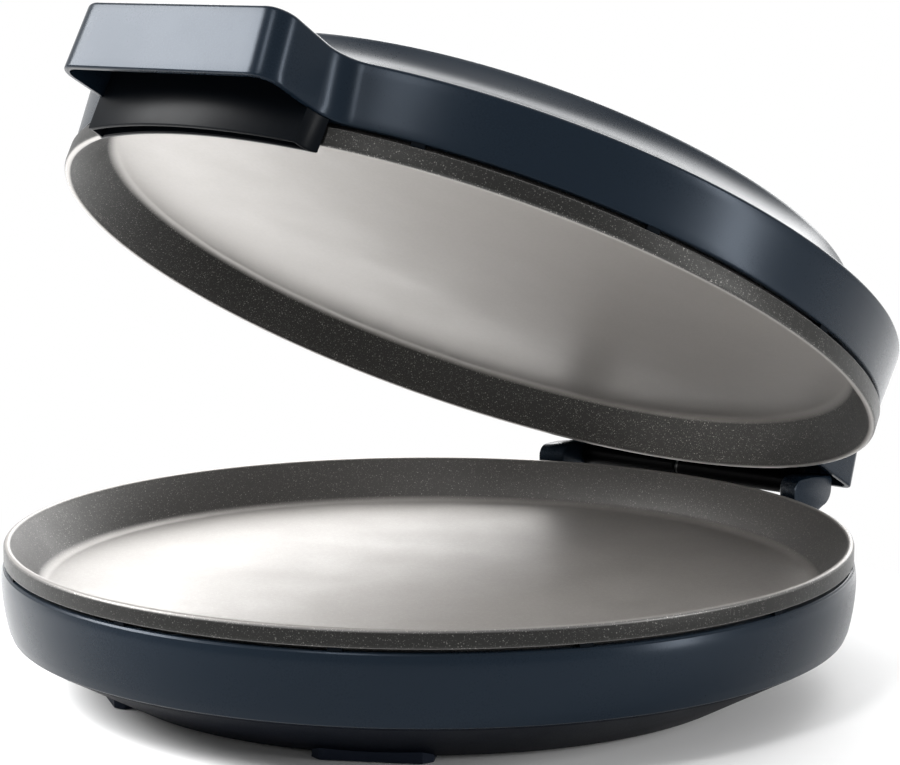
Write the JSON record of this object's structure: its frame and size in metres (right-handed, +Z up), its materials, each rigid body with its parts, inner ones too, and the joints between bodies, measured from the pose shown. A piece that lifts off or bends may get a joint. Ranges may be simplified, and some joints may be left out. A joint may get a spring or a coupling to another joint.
{
  "type": "pizza maker",
  "caption": "Round electric countertop pizza maker: two shallow non-stick plates in dark blue housings, the lid hinged at the back on a rod and lifted by a boxy front handle.",
  "frame": {"origin": "on the table, under the centre of the object's bounding box, with the lid open as in the picture", "axes": "+Z up from the table, -Y towards the handle, +Y towards the hinge, +X along the hinge axis to the right as seen from the handle"},
  "size_m": [0.343, 0.3793, 0.2711],
  "materials": {
    "housing_paint": "heat-resistant moulding with satin metallic dark blue paint",
    "cover_plastic": "satin dark blue-black moulding",
    "foot_plastic": "satin dark blue-black moulding",
    "pad_rubber": "soft black non-slip pad",
    "trim_plastic": "dark spacer tabs",
    "plate_coating": "cast dish with a speckled dark grey non-stick coating",
    "element_steel": "heat-tinted sheath of the heating element",
    "clamp_steel": "bent plated strap",
    "screw_steel": "zinc-plated fixing",
    "reflector_aluminium": "bright thin sheet",
    "ceramic_body": "pale heat-resistant body",
    "terminal_plastic": "ivory insulating block",
    "gland_rubber": "black flexible bush",
    "lead_insulation": "heat-proof sleeve over a copper lead",
    "rod_steel": "plain ground rod",
    "guard_plastic": "satin dark blue-black heat-resistant moulding",
    "knuckle_plastic": "black heat-resistant moulding",
    "lens_plastic": "clear red lens",
    "lamp_glass": "neon lamp"
  },
  "bodies": {
    "base": {"base_housing": "housing_paint", "bottom_cover": "cover_plastic", "feet": "foot_plastic", "foot_pads": "pad_rubber", "base_rim_tabs": "trim_plastic", "base_plate": "plate_coating", "base_element": "element_steel", "base_element_clamps": "clamp_steel", "base_clamp_screws": "screw_steel", "base_reflector": "reflector_aluminium", "cover_screws": "screw_steel", "thermostat": "ceramic_body", "thermostat_screws": "screw_steel", "thermal_fuse": "ceramic_body", "terminal_block": "terminal_plastic", "cord_gland": "gland_rubber", "base_leads": "lead_insulation", "hinge_rod": "rod_steel"},
    "lid": {"lid_housing": "housing_paint", "finger_guard": "guard_plastic", "guard_screws": "screw_steel", "lid_rim_tabs": "trim_plastic", "lid_plate": "plate_coating", "lid_element": "element_steel", "lid_element_clamps": "clamp_steel", "lid_clamp_screws": "screw_steel", "lid_reflector": "reflector_aluminium", "lid_studs": "screw_steel", "hinge_knuckles": "knuckle_plastic", "hinge_screws": "screw_steel", "indicator_lenses": "lens_plastic", "indicator_lamps": "lamp_glass", "lid_leads": "lead_insulation"}
  },
  "joints": [
    {"name": "lid_hinge", "type": "hinge", "parent": "base", "child": "lid", "pos_m": [0, 0.16185, 0.0592], "axis": [-1, 0, 0], "range_deg": [-28.47, 75]}
  ]
}
